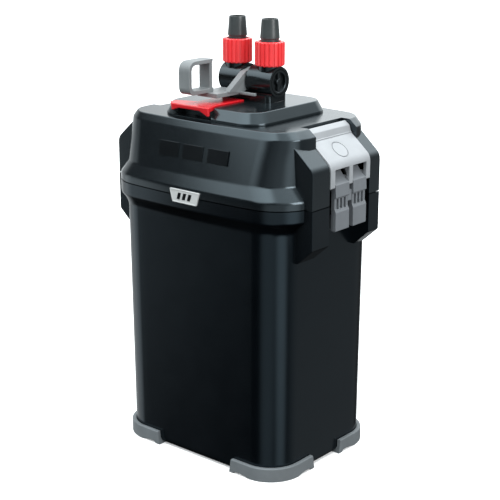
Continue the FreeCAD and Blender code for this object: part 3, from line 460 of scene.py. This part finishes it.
def make_lid():
    """Lid with its fascia, the two duct holes and the housings' upper halves."""
    bm = bmesh.new()
    # height, half width, half depth and corner radius, down the inside and up the outside
    keys = [(325.8, 60.0, 42.0, 20.0), (325.8, 82.0, 61.0, 24.0), (298.0, 82.0, 61.0, 24.0),
            (298.0, 98.0, 72.0, 34.0), (SEAM_HIGH, 98.0, 72.0, 34.0), (SEAM_HIGH, 113.0, 82.5, 42.0),
            (269.5, 113.0, 82.5, 42.0), (282.0, 103.8, 78.5, 40.0), (302.0, 103.8, 73.75, 37.6),
            (310.5, 103.8, 71.72, 36.5), (313.0, 103.8, 71.13, 36.2), (322.8, 103.8, 68.8, 35.0),
            (329.4, 95.6, 66.6, 28.0), (329.4, 84.0, 57.0, 20.0)]
    radii = [0.8, 0.8, 0.8, 0.8, 0.0, 2.2, 1.4, 0.0, 0.0, 0.0, 1.0, 1.2]
    # height, and how far out the recess wall stands there
    steps = [(262.7, 101.6), (302.0, 101.6), (310.5, 99.0), (313.0, 86.2), (400.0, 86.2)]

    def recess_wall(z):
        for (low, at_low), (high, at_high) in zip(steps, steps[1:]):
            if z <= high:
                return at_low + (at_high - at_low) * (z - low) / (high - low)
        return steps[-1][1]

    rings = [outline(x, y, corner, z, BOW, recess_wall(z)) for z, x, y, corner in filleted(keys, radii)]
    skin(bm, rings)
    shell = to_object(bm, "lid_casing", 28)
    ducts = [circle((HOSE_X * flip, BARREL_Y), DUCT_RADIUS, 48) for flip in (1, -1)]
    carve(shell, [prism_object("duct_hole", duct, "z", 300, 335) for duct in ducts])
    bm = bmesh.new()
    pillar_pairs(bm, [(99.5, SEAM_HIGH), (HOUSING_X, SEAM_HIGH), (HOUSING_X, 297.6), (98.3, 317),
                      (99.5, 311)], (0, 0, 11.0, 0, 0), 0.7, SEAM_HIGH)
    finish_piece(join(shell, [to_object(bm, "pillars", 28)]), "lid_shell")


# ------------------------------------------------------------------ feet
def make_feet():
    """Corner feet: an angle section swept round each corner, with small pads under both ends."""
    half_x, half_y, corner = 98.6, 74.4, 30.0
    top, pad_length, lift = 13.7, 4.6, 1.9
    section = [(0.3, 6.5), (0.3, 13.2), (0.8, 13.7), (3.3, 13.7), (4.15, 13.4), (4.45, 12.7), (4.45, 0.7),
               (3.9, 0.0), (-13.4, 0.0), (-14.0, 0.5), (-14.0, 1.7), (-5.2, 1.9), (-1.6, 3.1)]
    arm_x, arm_y = 48.0, 22.0
    arch_length, arch_fade = 14.0, 8.0
    flare_length, flare_by = 6.0, 2.2
    # place, outward direction, distance from the arm's end, and which arm: -1 front, 1 side, 0 corner
    path = []
    ends = [0.0, 0.6, pad_length - 1.0, pad_length, pad_length + 1.2]
    straight_x = half_x - corner - arm_x
    straight_y = half_y - corner - arm_y
    for s in ends + [straight_x * k for k in (0.5, 0.8, 1.0)]:
        path.append((arm_x + s, half_y, 0.0, 1.0, s, -1.0))
    for i in range(1, 18):
        angle = math.pi / 2 * (1 - i / 18)
        path.append((half_x - corner + corner * math.cos(angle), half_y - corner + corner * math.sin(angle),
                     math.cos(angle), math.sin(angle), 99.0, 0.0))
    for s in [straight_y * k for k in (1.0, 0.8, 0.5)] + ends[::-1]:
        path.append((half_x, arm_y + s, 1.0, 0.0, s, 1.0))
    for node, flip_x, flip_y in (("foot_front_left", -1, -1), ("foot_front_right", 1, -1),
                                 ("foot_rear_left", -1, 1), ("foot_rear_right", 1, 1)):
        bm = bmesh.new()
        rings = []
        for x, y, out_x, out_y, from_end, arm in path:
            ring = []
            raised = lift * max(0.0, min(1.0, (from_end - pad_length + 0.6) / 1.4))
            raised *= max(0.0, 1.0 - max(0.0, from_end - arch_length) / arch_fade)
            flare = max(0.0, 1.0 - from_end / flare_length)
            for d, z in section:
                low = max(0.0, 1.0 - z / top)
                along = -flare_by * flare * low ** 2
                px = x + out_x * d + (along if arm < 0 else 0.0)
                py = y + out_y * d + (along if arm > 0 else 0.0)
                ring.append((flip_x * px, flip_y * py, z + raised if z < lift else z))
            rings.append(ring)
        skin(bm, rings)
        piece = to_object(bm, node + "_moulding", 40)
        ease_edges(piece, 0.35, 2, 40)
        finish_piece(piece, node)


# ------------------------------------------------------------------ hose ends
def make_hose_ends():
    """Fluted nuts, plain nozzles, and a near-black liner in each nozzle's bore as painted shade."""
    ribs, rib_height = 20, 1.2
    groove, slope = 0.14, 0.07
    low, high, run_out = 373.9, 396.3, 0.7

    def ramped(value, length):
        return min(1.0, max(0.0, value / length))

    def fluting(angle, height):
        phase = (angle * ribs / (2 * math.pi)) % 1.0
        wave = ramped(min(phase, 1.0 - phase) - groove, slope)
        return rib_height * wave * ramped(height - low, run_out) * ramped(high - height, run_out)

    for side, x in (("intake", -HOSE_X), ("output", HOSE_X)):
        bm = bmesh.new()
        profile = [(9.6, 375.4), (11.9, 375.4), (11.9, 373.7), (12.5, 373.7), (12.8, 373.95), (12.9, 374.3),
                   (12.9, 375.0), (12.9, 385), (12.9, 395.0), (12.9, 395.7), (12.7, 396.15),
                   (12.4, 396.4), (10.6, 396.4), (10.2, 396.1), (10.1, 395.4), (9.5, 395.3), (9.5, 393.0)]
        lathe(bm, profile, (x, BARREL_Y), ribs * 16, fluting)
        finish_piece(to_object(bm, "hose_nut_%s_moulding" % side, 30), "hose_nut_" + side)
        bm = bmesh.new()
        profile = [(6.0, 391.2), (8.5, 391.2), (8.5, 398.2), (8.7, 398.6), (9.1, 399.1), (9.25, 399.7),
                   (9.0, 402.5), (8.6, 407.5), (8.2, 412.5), (7.9, 416.3), (7.8, 416.75), (7.6, 416.9),
                   (7.25, 416.9), (7.05, 416.75), (7.0, 416.5), (7.0, 405), (7.0, 393.0)]
        lathe(bm, profile, (x, BARREL_Y), 80)
        finish_piece(to_object(bm, "hose_nozzle_%s_moulding" % side, 40), "hose_nozzle_" + side)
        # painted shade: a near-black liner inside each nozzle's bore stands in for the shadow deep in the
        # bore; the nozzle itself is slate plastic
        bm = bmesh.new()
        painted_shade_liner = [(6.3, 394.0), (6.95, 394.0), (6.95, 416.6), (6.3, 416.4), (6.3, 394.0)]
        lathe(bm, painted_shade_liner, (x, BARREL_Y), 80, capped=False)
        finish_piece(to_object(bm, "hose_bore_painted_shade_" + side, 40), "hose_nozzle_" + side, "emblem_black")


# ------------------------------------------------------------------ latches
# Where the two tabs of each hook start and end along y.
TABS = ((-18.5, 1.9), (8.0, 28.2))


def make_latches():
    """Latch handles with two windows, a ring groove and pin bosses, and the round disc on each."""
    profile = [(90.6, 328), (96.2, 324.2), (97.9, 318.3), (98.6, 317.3), (120.4, 298.8), (120.4, 288.0),
               (120.4, 277.6), (117, 277.6), (117, 294.6), (116, 297.4), (97, 313.2), (91, 316),
               (89.6, 320), (89.4, 325.5)]
    radii = (0.9, 1.6, 0.6, 0.6, 14.0, 0.0, 1.2, 1.2, 1.0, 3.0, 2.0, 1.5, 1.5, 1.0)
    start, end = -25.5, 34.5
    openings = ((-18.9, 2.3), (7.6, 28.6))
    legs = ((start, -18.9), (2.3, 7.6), (28.6, end))
    slope = math.atan2(18.5, 21.8)
    for side, flip in (("right", 1), ("left", -1)):
        soft = [(flip * x, z) for x, z in round_corners(profile, radii)]
        plate = prism_object("latch_handle_%s_moulding" % side, soft, "y", start, end)
        cutters = []
        for low, high in openings:
            window = round_corners([(low, 270.0), (high, 270.0), (high, 294.2), (low, 294.2)],
                                   (0, 0, 0.9, 0.9))
            cutters.append(prism_object("window", window, "x", *sorted((flip * 108.5, flip * 125.0))))
        tilt = Matrix.Translation((flip * 109.35, 2.4, 308.18)) @ Matrix.Rotation(flip * slope, 4, "Y")
        bm = bmesh.new()
        ring = [(8.15, -0.9), (8.95, -0.9), (8.95, 1.5), (8.15, 1.5), (8.15, -0.9)]
        lathe(bm, ring, (0, 0), 72, capped=False)
        bmesh.ops.transform(bm, matrix=tilt, verts=bm.verts)
        cutters.append(to_object(bm, "ring_groove"))
        carve(plate, cutters)
        ease_edges(plate, 0.45, 3)
        bm = bmesh.new()
        for low, high in legs:
            prism(bm, circle((flip * 114.2, 281.4), 4.1, 28), "y", low + 0.3, high - 0.3, 0.3)
        # a raised line along the crease under the grip
        prism(bm, circle((flip * 98.2, 317.9), 0.75, 12), "y", -25.0, 34.0, 0.2)
        join(plate, [to_object(bm, "bosses")])
        finish_piece(plate, "latch_handle_" + side)

        bm = bmesh.new()
        lathe(bm, [(8.0, -0.3), (8.0, 0.05), (7.8, 0.18)], (0, 0), 72)
        bmesh.ops.transform(bm, matrix=tilt, verts=bm.verts)
        finish_piece(to_object(bm, "latch_disc_%s_moulding" % side, 40), "latch_disc_" + side)
        make_hook(side, flip)


def make_hook(side, flip):
    """Two hook tabs: scooped top, collar, slotted face set back above a ledge, flat foot and throat."""
    face = [(110.4, 290), (113.4, 286.4), (117, 282.8), (120.8, 280.2), (121.4, 268.8), (119.7, 267.6),
            (119.7, 258.6), (121.4, 255.0), (121.4, 237.5), (115.8, 237.5), (115.8, 274), (109.8, 278),
            (109.8, 286)]
    round_by = (0, 6.0, 5.0, 0.8, 0.8, 0.3, 0.3, 0.5, 1.0, 0.8, 2.0, 1.0, 0)
    catch = [(118, 237.5), (104, 237.5), (104, 244.5), (110.6, 251.1), (118, 251.1)]
    slot_count, slot_pitch, slot_width = 3, 5.4, 3.2
    parts = []
    for low, high in TABS:
        tab = prism_object("tab", [(flip * x, z) for x, z in round_corners(face, round_by)], "y", low, high)
        slots = []
        for k in range(slot_count):
            start = low + 3.0 + slot_pitch * k
            end = start + slot_width
            slots.append(prism_object("slot", [(start, 257.4), (end, 257.4), (end, 267.0), (start, 267.0)],
                                      "x", *sorted((flip * 117.4, flip * 124))))
        carve(tab, slots)
        parts.append(ease_edges(tab, 0.4, 3))
        bm = bmesh.new()
        prism(bm, [(flip * x, z) for x, z in round_corners(catch, (0, 1.2, 1.0, 1.0, 0))], "y",
              low + 3.2, high - 0.6, 0.4)
        parts.append(to_object(bm, "catch"))
    bm = bmesh.new()
    bridge = [(flip * x, z) for x, z in ((115.8, 262), (119, 262), (119, 272), (115.8, 272))]
    prism(bm, bridge, "y", 1.5, 8.5, 0.4)
    finish_piece(join(to_object(bm, "latch_hook_%s_moulding" % side), parts), "latch_hook_" + side)


# ------------------------------------------------------------------ dock, valve caps and lever
def make_dock():
    """Raised plinth with the lever's trench, the red handle's well and the two ducts cut in it."""
    bm = bmesh.new()
    keys = [(329.5, 52.0, 50.0, 17.0), (329.5, 60.0, 57.5, 23.0), (331.4, 60.0, 57.5, 23.0),
            (341.0, 55.0, 53.0, 20.0), (341.0, 46.0, 44.0, 12.0)]
    rings = []
    for z, x, y, corner in filleted(keys, [0.3, 0.6, 0.9]):
        ring = []
        for across, along, first in ((1, 1, 0), (-1, 1, 90), (-1, -1, 180), (1, -1, 270)):
            for i in range(15):
                angle = math.radians(first + 6 * i + 3)
                ring.append((across * (x - corner) + corner * math.cos(angle),
                             along * (y - corner) + corner * math.sin(angle), z))
        rings.append(ring)
    skin(bm, rings)
    dock = to_object(bm, "dock_moulding", 28)
    trench = round_corners([(-25.2, -38.5), (-25.2, -5), (4.8, -5), (4.8, -45), (9.8, -57), (9.8, -66),
                            (-46, -66), (-46, -46.2)], (2, 2, 2, 4, 3, 0, 0, 2))
    well = [(-45, -66), (-36, -44), (6, -44), (9, -66)]
    tools = [prism_object("trench", trench, "z", 338.2, 343), prism_object("well", well, "z", 330.4, 339)]
    for flip in (1, -1):
        duct = circle((HOSE_X * flip, BARREL_Y), DUCT_RADIUS, 48)
        tools.append(prism_object("duct", duct, "z", 325, 345))
    finish_piece(ease_edges(carve(dock, tools), 0.3, 2, 50), "dock_cover")


def make_valve_caps():
    """Dished end caps of the barrel with a bar and a boss, turned about z and laid along x."""
    for side, flip in (("left", -1), ("right", 1)):
        bm = bmesh.new()
        lathe(bm, [(0.01, 28.65), (12.2, 28.65), (12.2, 31.1), (11.9, 31.5), (9.5, 31.5), (9.1, 31.2),
                   (8.7, 28.9), (0.01, 28.9)], (0, 0), 72)
        prism(bm, [(-8.8, -1.5), (8.8, -1.5), (8.8, 1.5), (-8.8, 1.5)], "z", 28.7, 30.9, 0.4)
        lathe(bm, [(0.01, 28.7), (3.4, 28.7), (3.2, 30.9), (2.8, 31.2), (0.01, 31.2)], (0, 0), 40)
        turn = Matrix.Translation((0, BARREL_Y, BARREL_Z)) @ Matrix.Rotation(flip * math.pi / 2, 4, "Y")
        bmesh.ops.transform(bm, matrix=turn, verts=bm.verts)
        finish_piece(to_object(bm, "valve_cap_%s_moulding" % side, 35), "valve_cap_" + side)


def make_lever():
    """Finger loop on a flat plate, a rising arm with a web, the locking bar and the hub."""
    loop = prism_object("lever_loop", round_corners(
        [(-64, 351), (-31, 351), (-31, 354.5), (-32.4, 356), (-32.4, 377.6), (-31, 382), (-64, 382)],
        (8, 1, 0.6, 1.5, 2.0, 0.8, 10), 7), "x", -25.6, -12.3)
    hole = prism_object("lever_hole", round_corners(
        [(-60.2, 354.8), (-36.2, 354.8), (-36.2, 378.2), (-60.2, 378.2)],
        (5, 1.0, 1.0, 6), 6), "x", -27, -11)
    ease_edges(carve(loop, [hole]), 0.6, 3)
    arm = prism_object("lever_arm", round_corners(
        [(-25, 350.4), (-21, 353.6), (-1, 367.6), (5, 369), (9, 369), (9, 361), (3, 363), (-14, 350.4)],
        (1, 6, 6, 3, 1, 1, 4, 4)), "x", -5.4, 0.8)
    web = prism_object("lever_web", [(-21, 351), (-5, 348), (4, 352), (6, 364), (1, 366)], "x", -1.6, 0.6)
    plate = prism_object("lever_plate", [(-25.6, -39), (-1.2, -39), (-1.2, -5), (-25.6, -5)], "z",
                         347, 351.2)
    bar = prism_object("lever_bar", [(-1.3, -8), (18, -8), (18, -5), (-1.3, -5)], "z", 347, 349.6)
    hub = prism_object("lever_hub", circle((BARREL_Y, BARREL_Z), 11.0, 48), "x", -5.7, 1.4)
    for piece in (arm, plate, bar, hub):
        ease_edges(piece, 0.5, 3)
    finish_piece(join(loop, [arm, web, plate, bar, hub]), "valve_lever")


# ------------------------------------------------------------------ badge
def make_badge():
    """Plate with a sunk face and three plain slanted marks."""
    rim = round_corners([(-16.8, 256.2), (12.6, 256.2), (16.2, 268.6), (-20.4, 268.6)], (1, 1, 1, 1))
    face = round_corners([(-15.8, 257.1), (11.6, 257.1), (14.9, 267.7), (-19.1, 267.7)], (1, 1, 1, 1))
    plate = prism_object("badge_plate_moulding", rim, "y", BADGE_Y, BADGE_Y + 1.64)
    dip = prism_object("badge_dip", face, "y", BADGE_Y - 0.8, BADGE_Y + 0.4)
    finish_piece(ease_edges(carve(plate, [dip]), 0.15, 2), "badge_plate")
    bm = bmesh.new()
    for x in (-9.6, -3.2, 3.2):
        prism(bm, [(x - 2.0, 259.4), (x + 1.6, 259.4), (x + 3.6, 265.6), (x, 265.6)], "y",
              BADGE_Y + 0.1, BADGE_Y + 0.5, 0.1)
    finish_piece(to_object(bm, "badge_marks"), "badge_plate", "emblem_black")


make_canister()
make_lid()
make_feet()
make_hose_ends()
make_latches()
make_dock()
make_valve_caps()
make_lever()
make_badge()
for node, width in (("valve_body", 0.5), ("front_handle", 0.8), ("cord_gland", 0.4), ("front_emblem", 0.2)):
    eased_copy(node, width)


# ------------------------------------------------------------------ floor, light and camera
def staged(bm, name, material):
    """A scenery object that isn't part of the filter."""
    mesh = bpy.data.meshes.new(name)
    bm.to_mesh(mesh)
    bm.free()
    mesh.materials.append(material)
    made = bpy.data.objects.new(name, mesh)
    bpy.context.scene.collection.objects.link(made)
    return made


def make_stage():
    """A white table top, and a white dome far behind it that only the camera sees."""
    floor_radius, dome_radius = 9.0, 9.5
    paper, tree, shader = node_material("floor_paper")
    shader.inputs["Base Color"].default_value = (0.88, 0.88, 0.88, 1)
    shader.inputs["Roughness"].default_value = 1.0
    shader.inputs["Specular IOR Level"].default_value = 0.0
    shader.inputs["Emission Color"].default_value = (1, 1, 1, 1)
    shader.inputs["Emission Strength"].default_value = 0.22
    bm = bmesh.new()
    bmesh.ops.create_circle(bm, cap_ends=True, segments=96, radius=floor_radius)
    floor = staged(bm, "floor", paper)
    floor.visible_glossy = floor.visible_diffuse = False
    glow, tree, shader = node_material("backdrop_white")
    shader.inputs["Base Color"].default_value = (0, 0, 0, 1)
    shader.inputs["Specular IOR Level"].default_value = 0.0
    shader.inputs["Emission Color"].default_value = (1, 1, 1, 1)
    shader.inputs["Emission Strength"].default_value = 1.05
    bm = bmesh.new()
    bmesh.ops.create_icosphere(bm, subdivisions=4, radius=dome_radius)
    dome = staged(bm, "backdrop", glow)
    dome.visible_glossy = dome.visible_diffuse = dome.visible_shadow = False
    dome.visible_transmission = dome.visible_volume_scatter = False


def area_light(name, place, target, size, power):
    """A square soft lamp at place that shines at target."""
    data = bpy.data.lights.new(name, "AREA")
    data.shape = "RECTANGLE"
    data.size = data.size_y = size
    data.energy = power
    lamp = bpy.data.objects.new(name, data)
    lamp.location = place
    lamp.rotation_euler = (Vector(target) - Vector(place)).to_track_quat("-Z", "Y").to_euler()
    lamp.visible_camera = False
    bpy.context.scene.collection.objects.link(lamp)


# Dim light from all around, and soft panels: direction to the panel, where it is full and where it has
# faded (degrees from its middle), and its brightness.
AMBIENT = 0.015
PANELS = (
    ((-0.05, 0.10, 0.99), 30, 84, 1.8),
    ((-0.60, 0.78, -0.17), 12, 32, 1.1),
    ((-0.96, 0.17, -0.21), 14, 30, 0.8),
    ((-0.88, -0.41, -0.24), 8, 21, 1.1),
    ((-0.62, -0.74, -0.20), 3, 11, 0.07),
    ((-0.25, -0.68, 0.69), 32, 38, 2.4),
    ((0.93, -0.25, -0.28), 5, 25, 0.9),
    ((0.42, -0.86, -0.28), 8, 32, 0.5),
    ((-0.16, 0.89, 0.42), 14, 40, 1.2),
    ((0.66, 0.70, -0.27), 8, 42, 0.25),
    ((0.95, -0.30, 0.20), 10, 45, 0.5),
)


def make_light():
    """The world with its panels, two soft lamps and a plain view transform."""
    world = bpy.data.worlds.new("studio")
    world.use_nodes = True
    tree = world.node_tree
    direction = add(tree, "ShaderNodeTexCoord").outputs["Generated"]
    total = None
    for towards, full, faded, brightness in PANELS:
        facing = add(tree, "ShaderNodeVectorMath", operation="DOT_PRODUCT")
        tree.links.new(direction, facing.inputs[0])
        facing.inputs[1].default_value = Vector(towards).normalized()
        fade = add(tree, "ShaderNodeMapRange", interpolation_type="SMOOTHSTEP")
        fade.inputs["From Min"].default_value = math.cos(math.radians(faded))
        fade.inputs["From Max"].default_value = math.cos(math.radians(full))
        fade.inputs["To Max"].default_value = brightness
        tree.links.new(facing.outputs["Value"], fade.inputs["Value"])
        summed = add(tree, "ShaderNodeMath", operation="ADD")
        tree.links.new(fade.outputs["Result"], summed.inputs[0])
        if total is None:
            summed.inputs[1].default_value = AMBIENT
        else:
            tree.links.new(total, summed.inputs[1])
        total = summed.outputs["Value"]
    tree.nodes["Background"].inputs["Color"].default_value = (0.93, 0.98, 1.0, 1)
    tree.links.new(total, tree.nodes["Background"].inputs["Strength"])
    bpy.context.scene.world = world
    area_light("top_box", (0.25, 0.3, 1.9), (0, 0, 0.2), 1.6, 16)
    area_light("right_fill", (1.8, -0.1, 0.9), (0.05, 0, 0.25), 0.9, 18)
    bpy.context.scene.view_settings.view_transform = "Standard"


def make_camera():
    """The main view, from above and to the right of the front."""
    data = bpy.data.cameras.new("camera")
    data.sensor_width = 36.0
    data.lens = 92.09
    camera = bpy.data.objects.new("camera", data)
    camera.location = (0.7723, -0.9100, 0.5520)
    aim = Vector((0.00568, 0.0, 0.1943)) - camera.location
    camera.rotation_euler = aim.to_track_quat("-Z", "Y").to_euler()
    bpy.context.scene.collection.objects.link(camera)
    bpy.context.scene.camera = camera


make_stage()
make_light()
make_camera()
